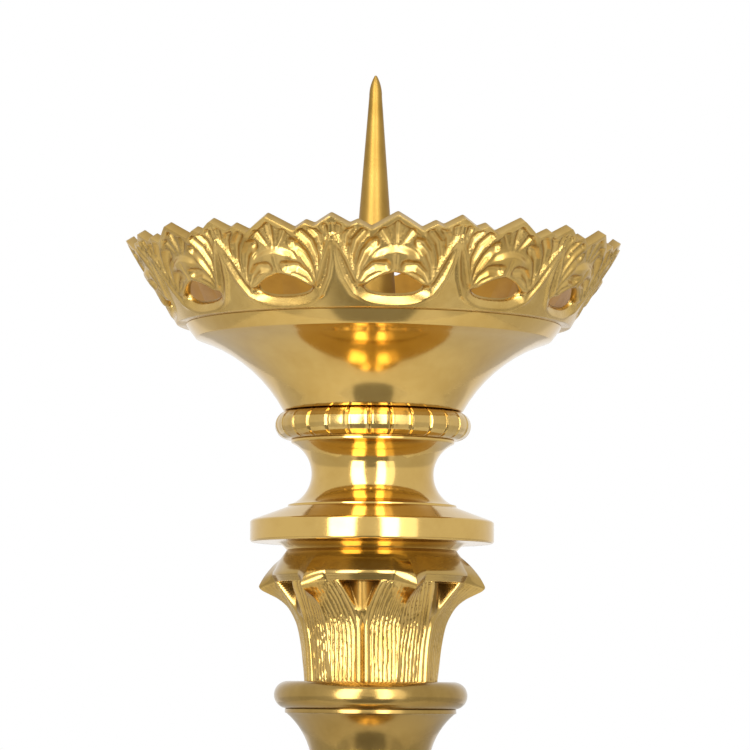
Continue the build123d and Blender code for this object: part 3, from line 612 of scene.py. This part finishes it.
def column_angle(column):
    """Angle of a grid line of the half module, so that the rim's teeth fall on grid lines."""
    for count, (a, _), (b, _) in zip(RIM_COLUMNS, RIM, RIM[1:]):
        if column <= count:
            return math.radians(a + (b - a) * column / count)
        column -= count
    return math.radians(RIM[-1][0])


def gallery():
    """Pierced gallery. One palmette is chased into a fine grid on the leaning wall, pierced, given its
    thickness and its foot, and then repeated round the axis."""
    half_columns = sum(RIM_COLUMNS)
    bm = bmesh.new()
    dirt_and_shade = bm.verts.layers.float.new("dirt_and_shade")
    satin = bm.verts.layers.float.new("satin")
    punched = bm.verts.layers.float.new("punched")
    bmesh.ops.create_grid(bm, x_segments=2 * half_columns, y_segments=WALL_ROWS, size=0.5)
    for vert in bm.verts:
        column = round((vert.co.x + 0.5) * 2 * half_columns) - half_columns
        angle = math.copysign(column_angle(abs(column)), column)
        share = vert.co.y + 0.5
        rim = rim_height(math.degrees(abs(angle)))
        vert.co = wall_place(angle, WALL_SLOPE * share + (rim - WALL_SLOPE) * share ** 4, 0)

    pierced = []
    for face in bm.faces:
        _, up, across = on_wall(face.calc_center_median())
        if near_opening(up, across) and in_opening((abs(across), up)):
            pierced.append(face)
    bmesh.ops.delete(bm, geom=pierced, context="FACES")
    for vert in bm.verts:
        _, up, across = on_wall(vert.co)
        if vert.is_boundary and near_opening(up, across):
            _, (x, y) = nearest((abs(across), up), OPENING)
            x = math.copysign(x, across)
            vert.co = wall_place(x / (WALL_FOOT_RADIUS + y * math.sin(WALL_LEAN)), y, 0)

    back = bm.verts[:]
    made = bmesh.ops.extrude_face_region(bm, geom=bm.faces[:], use_keep_orig=True)
    front = [part for part in made["geom"] if isinstance(part, bmesh.types.BMVert)]
    side = math.pi / PALMETTES - 1e-5
    open_faces = []
    for face in bm.faces:
        places = [on_wall(vert.co) for vert in face.verts]
        if all(abs(angle) > side for angle, _, _ in places) or all(up < 0.01 for _, up, _ in places):
            open_faces.append(face)
    bmesh.ops.delete(bm, geom=open_faces, context="FACES")
    for vert in back:
        angle, up, _ = on_wall(vert.co)
        vert.co = wall_place(angle, up + WALL_INNER_FOOT * (1 - up / WALL_SLOPE), -WALL_THICKNESS)
        # Painted shade darkens the wall's edges towards its inside
        vert[dirt_and_shade], vert[satin] = 0.45, 1.0
    inner = set(back)
    for face in bm.faces:
        if all(vert in inner for vert in face.verts):
            face.material_index = 1
    bmesh.ops.dissolve_limit(
        bm, angle_limit=math.radians(2.5), use_dissolve_boundaries=False,
        verts=[vert for vert in back if not vert.is_boundary],
        edges=[edge for edge in bm.edges if all(vert in inner for vert in edge.verts)],
        delimit={"NORMAL"},
    )

    outer = set(front)
    row = [
        edge for edge in bm.edges
        if edge.is_boundary and all(vert in outer and on_wall(vert.co)[1] < 0.01 for vert in edge.verts)
    ]
    for vert in front:
        angle, up, across = on_wall(vert.co)
        height, vert[dirt_and_shade], vert[satin], vert[punched] = chased(across, up)
        vert.co = wall_place(angle, up, height)
    for radius, height in FOOT_RING:
        row = carried_on(bm, row, radius, height)

    bmesh.ops.rotate(bm, verts=bm.verts[:], cent=(0, 0, 0), matrix=Matrix.Rotation(PALMETTE_BEARING, 3, "Z"))
    repeat_round(bm, PALMETTES, 0.01)
    bmesh.ops.recalc_face_normals(bm, faces=bm.faces[:])
    finish_piece(bm, "gallery_wall", "gallery", "stand", "cast_brass", cast_brass, shaded_inside_brass, sharp=70)


gallery()

# Stations up the leaf, as radius and height: over a leaf's middle, and over the gap between two leaves
OVER_LEAF = (
    (20.1, 336.5), (20.6, 341.0), (21.3, 347.0), (22.4, 352.5), (23.7, 355.8), (25.6, 358.8), (28.2, 361.0),
    (31.1, 362.5), (33.3, 363.6), (34.2, 364.6), (33.9, 365.7), (32.4, 368.2), (29.8, 371.3), (26.9, 373.9),
    (25.6, 375.6),
)
OVER_GAP = (
    (19.9, 336.5), (20.1, 341.0), (20.6, 347.0), (21.6, 352.4), (22.6, 355.6), (24.2, 358.6), (26.0, 361.6),
    (27.8, 364.2), (28.7, 365.7), (28.9, 366.3), (29.5, 367.4), (29.9, 368.5), (28.9, 370.4), (27.3, 373.2),
    (25.6, 375.6),
)
# Plan of a leaf's point: how far it stands out, and its half width at the root
POINT_RADIUS = 34.2
POINT_LENGTH = 6.7
POINT_HALF_WIDTH = 7.0
RIM_RADIUS = 29.8
LEAF_EDGE = 9
LEAF_COLUMNS = 96
ROWS_PER_STATION = 9
RECESS_FOOT = 351.5
RECESS_TOP = 366.4
RECESS_HALF_WIDTH = 6.2
# Bud between two leaves: radius at its foot, growth per millimetre up, and swell towards its middle
BUD_RADIUS = 21.0
BUD_GROWTH = 0.1
BUD_SWELL = 2.0
# Leaf's raised border and the groove inside it, in millimetres from the recess, and the veins
BORDER = 1.15
BORDER_GROOVE = 2.35
VEIN_PITCH = 1.35
VEIN_DEPTH = 0.3
# Painted shade on the dome that sits under the flange
DOME_PAINTED_SHADE = 0.3
CAPITAL_BORE = 13.0


def between(stations, place):
    """Point of a smooth curve through the stations."""
    first = min(int(place), len(stations) - 2)
    t = place - first
    four = [stations[min(max(first + step, 0), len(stations) - 1)] for step in (-1, 0, 1, 2)]
    out = []
    for a, b, c, d in zip(*four):
        out.append(b + 0.5 * t * (c - a + t * (2 * a - 5 * b + 4 * c - d + t * (3 * (b - c) + d - a))))
    return out


def point_share(angle):
    """Share of the way from a leaf's tip in to the plain rim, along the straight side of its point."""
    slope = math.tan(abs(angle))
    along = POINT_RADIUS * slope / (POINT_HALF_WIDTH + POINT_LENGTH * slope)
    radius = math.hypot(POINT_HALF_WIDTH * along, POINT_RADIUS - POINT_LENGTH * along)
    return min((POINT_RADIUS - radius) / (POINT_RADIUS - RIM_RADIUS), 1.0) if along < 1 else 1.0


def leaf_point(angle, place):
    """Radius and height of the carved leaf, and how much dirt with painted shade and satin finish it holds
    there. The angle is from the leaf's middle, and the place counts stations from the foot."""
    half = math.pi / LEAVES
    share = point_share(angle)
    over_leaf, over_gap = between(OVER_LEAF, place), between(OVER_GAP, place)
    radius = over_leaf[0] + (over_gap[0] - over_leaf[0]) * share
    height = over_leaf[1] + (over_gap[1] - over_leaf[1]) * share
    # Above the leaf's edge lies the dome, which takes painted shade and no satin
    if place > LEAF_EDGE:
        return radius, height, DOME_PAINTED_SHADE, 0.0

    from_gap = radius * (half - abs(angle))
    from_rib = radius * abs(angle)
    rise = min(max((height - RECESS_FOOT) / (RECESS_TOP - RECESS_FOOT), 0.0), 1.0)
    recess = from_gap - RECESS_HALF_WIDTH * rise ** 1.5
    fade = smooth(LEAF_EDGE - 0.2, LEAF_EDGE - 0.9, place)
    swell = BUD_SWELL * smooth(RECESS_HALF_WIDTH, 0.0, from_gap)
    floor = BUD_RADIUS + BUD_GROWTH * (height - RECESS_FOOT) + swell
    sunk = smooth(0.4, -0.8, recess) * smooth(0.25, 0.5, rise)
    out = -(radius - floor) * sunk * fade
    band = max(recess, 0.0)
    cut = bump(from_gap, 0.35) * (1 - smooth(0.2, 0.4, rise))
    border = 0.45 * bump(band - BORDER, 0.75) - 0.35 * bump(band - BORDER_GROOVE, 0.3) - 0.4 * cut
    out += fade * (1 - sunk) * border
    leaf = smooth(2.5, 2.9, band) * smooth(0.2, 0.7, from_rib)
    drift = 0.3 * noise.noise(Vector((from_rib * 0.4, height * 0.16, math.copysign(7.0, angle))))
    vein = 0.5 + 0.5 * math.cos(2 * math.pi * (band - BORDER_GROOVE + drift) / VEIN_PITCH)
    stipple = noise.noise(Vector((from_rib * 1.7, height * 1.1, angle)))
    out -= fade * leaf * (VEIN_DEPTH * vein ** 2 + 0.12 * stipple)
    # Old dirt and painted shade darken the veins, the sunk recess, the border groove and the cut
    dirt_and_shade = fade * max(0.3 * leaf * vein ** 3, 0.85 * sunk, 0.35 * bump(band - BORDER_GROOVE, 0.25), 0.35 * cut)
    satin = fade * (0.1 + 0.12 * leaf + 0.75 * sunk)
    return radius + out, height, min(dirt_and_shade, 1.0), satin


def capital():
    """Cast capital. One leaf is carved into a fine grid and repeated, and the bore is closed."""
    half = math.pi / LEAVES
    rows = (len(OVER_LEAF) - 1) * ROWS_PER_STATION
    bm = bmesh.new()
    dirt_and_shade = bm.verts.layers.float.new("dirt_and_shade")
    satin = bm.verts.layers.float.new("satin")
    bmesh.ops.create_grid(bm, x_segments=LEAF_COLUMNS, y_segments=rows, size=0.5)
    for vert in bm.verts:
        angle = 2 * half * vert.co.x
        place = (vert.co.y + 0.5) * (len(OVER_LEAF) - 1)
        radius, height, vert[dirt_and_shade], vert[satin] = leaf_point(angle, place)
        turn = angle + LEAF_BEARING
        vert.co = Vector((radius * math.cos(turn), radius * math.sin(turn), height)) * MM
    repeat_round(bm, LEAVES, 0.005)
    top, foot = OVER_LEAF[-1][1], OVER_LEAF[0][1]
    row = [edge for edge in bm.edges if edge.is_boundary and edge.verts[0].co.z > (top - 0.5) * MM]
    for height in (top, foot):
        row = carried_on(bm, row, CAPITAL_BORE, height)
    bmesh.ops.bridge_loops(bm, edges=[edge for edge in bm.edges if edge.is_boundary])
    bmesh.ops.recalc_face_normals(bm, faces=bm.faces[:])
    finish_piece(bm, "capital_leaves", "leaf_capital", "stand", "cast_brass", cast_brass, sharp=55)


capital()


def white_room():
    """World that the eye and the mirrors see as white, and that lights a little less than that."""
    world = bpy.data.worlds.new("white_room")
    bpy.context.scene.world = world
    world.use_nodes = True
    tree = world.node_tree
    tree.nodes.clear()
    path = add(tree, "LightPath")
    seen = add(
        tree, "Math", {0: path.outputs["Is Camera Ray"], 1: path.outputs["Is Glossy Ray"]}, operation="MAXIMUM"
    )
    seen = add(
        tree, "Math", {0: seen.outputs["Value"], 1: path.outputs["Is Transmission Ray"]}, operation="MAXIMUM"
    )
    strength = add(tree, "MapRange", {"Value": seen.outputs["Value"], "To Min": 0.6, "To Max": 1.0})
    # The room is unlit low down on the viewer's side and dimmer to the left and right, beyond the table: the
    # brass mirrors that as olive patches
    way = add(tree, "SeparateXYZ", {"Vector": add(tree, "TexCoord").outputs["Generated"]})
    aside = add(tree, "Math", {0: way.outputs["X"]}, operation="ABSOLUTE").outputs["Value"]
    spread = add(tree, "Math", {0: way.outputs["Y"], 1: -0.5, 2: 0.1}, operation="MULTIPLY_ADD")
    within = add(tree, "Math", {0: spread.outputs["Value"], 1: aside}, operation="SUBTRACT").outputs["Value"]
    front = add(
        tree, "MapRange", {"Value": within, "From Min": -0.03, "From Max": 0.03, "To Max": FRONT_DIM},
        interpolation_type="SMOOTHSTEP",
    )
    sides = add(
        tree, "MapRange", {"Value": aside, "From Min": 0.5, "From Max": 0.58, "To Max": SIDE_DIM},
        interpolation_type="SMOOTHSTEP",
    )
    low = add(
        tree, "MapRange", {"Value": way.outputs["Z"], "From Min": -0.1, "From Max": -0.2},
        interpolation_type="SMOOTHSTEP",
    )
    dim = add(tree, "Math", {0: front.outputs["Result"], 1: sides.outputs["Result"]}, operation="MAXIMUM")
    dim = add(tree, "Math", {0: dim.outputs["Value"], 1: low.outputs["Result"]}, operation="MULTIPLY")
    dim = add(tree, "Math", {0: dim.outputs["Value"], 1: path.outputs["Is Glossy Ray"]}, operation="MULTIPLY")
    level = add(tree, "Math", {0: strength.outputs["Result"], 1: dim.outputs["Value"]}, operation="SUBTRACT")
    room = add(tree, "Background", {"Color": linear("#FFFFFF"), "Strength": level.outputs["Value"]})
    add(tree, "OutputWorld", {"Surface": room.outputs["Background"]})


def table():
    """Pale table top under the stand, which takes its shadow."""
    bm = bmesh.new()
    bmesh.ops.create_grid(bm, x_segments=1, y_segments=1, size=TABLE_WIDTH / 2)
    bmesh.ops.scale(bm, vec=(1, 2, 1), verts=bm.verts[:])
    bmesh.ops.translate(bm, verts=bm.verts[:], vec=(0, TABLE_WIDTH - TABLE_FRONT, 0))
    mesh = bpy.data.meshes.new("floor")
    bm.to_mesh(mesh)
    bm.free()
    floor = bpy.data.objects.new("floor", mesh)
    bpy.context.scene.collection.objects.link(floor)
    # Pale card: nearly white, faintly mottled
    material, tree = new_material("pale_card")
    place = add(tree, "TexCoord").outputs["Object"]
    mottle = add(tree, "TexNoise", {"Vector": place, "Scale": per_mm(40)})
    tone = add(tree, "ValToRGB", {"Fac": mottle.outputs["Fac"]})
    tone.color_ramp.elements[0].color = linear("#E4E3E0")
    tone.color_ramp.elements[1].color = linear("#ECEBE8")
    shader = add(tree, "BsdfPrincipled", {"Base Color": tone.outputs["Color"], "Roughness": 0.9})
    add(tree, "OutputMaterial", {"Surface": shader.outputs["BSDF"]})
    mesh.materials.append(material)


def soft_boxes():
    """Two tall soft boxes beside the camera, and a dim one further to the right."""
    for name, azimuth, elevation, width, height, power in (
        ("soft_box_left", -28, 9, 0.72, 2.6, 45.0),
        ("soft_box_right", 17, 9, 0.46, 2.6, 28.4),
        ("soft_box_glow", 34, 9, 0.5, 2.6, 5.3),
    ):
        lamp = bpy.data.lights.new(name, "AREA")
        lamp.shape = "RECTANGLE"
        lamp.size = width
        lamp.size_y = height
        lamp.energy = power
        box = bpy.data.objects.new(name, lamp)
        bpy.context.scene.collection.objects.link(box)
        turn, rise = math.radians(azimuth), math.radians(elevation)
        away = Vector((math.sin(turn) * math.cos(rise), -math.cos(turn) * math.cos(rise), math.sin(rise)))
        box.location = Vector((0, 0, BOX_AIM)) + BOX_DISTANCE * away
        box.rotation_euler = away.to_track_quat("Z", "Y").to_euler()
        box.visible_camera = False


def photo_camera():
    """Camera where the photographer's stood."""
    lens = bpy.data.cameras.new("photo_camera")
    lens.sensor_width = 36
    lens.lens = LENS_MM
    camera = bpy.data.objects.new("photo_camera", lens)
    bpy.context.scene.collection.objects.link(camera)
    camera.matrix_world = (
        Matrix.Translation(CAMERA_PLACE)
        @ Matrix.Rotation(CAMERA_PITCH, 4, "X")
        @ Matrix.Rotation(CAMERA_ROLL, 4, "Z")
    )
    bpy.context.scene.camera = camera


bpy.context.scene.view_settings.view_transform = "Standard"
white_room()
table()
soft_boxes()
photo_camera()
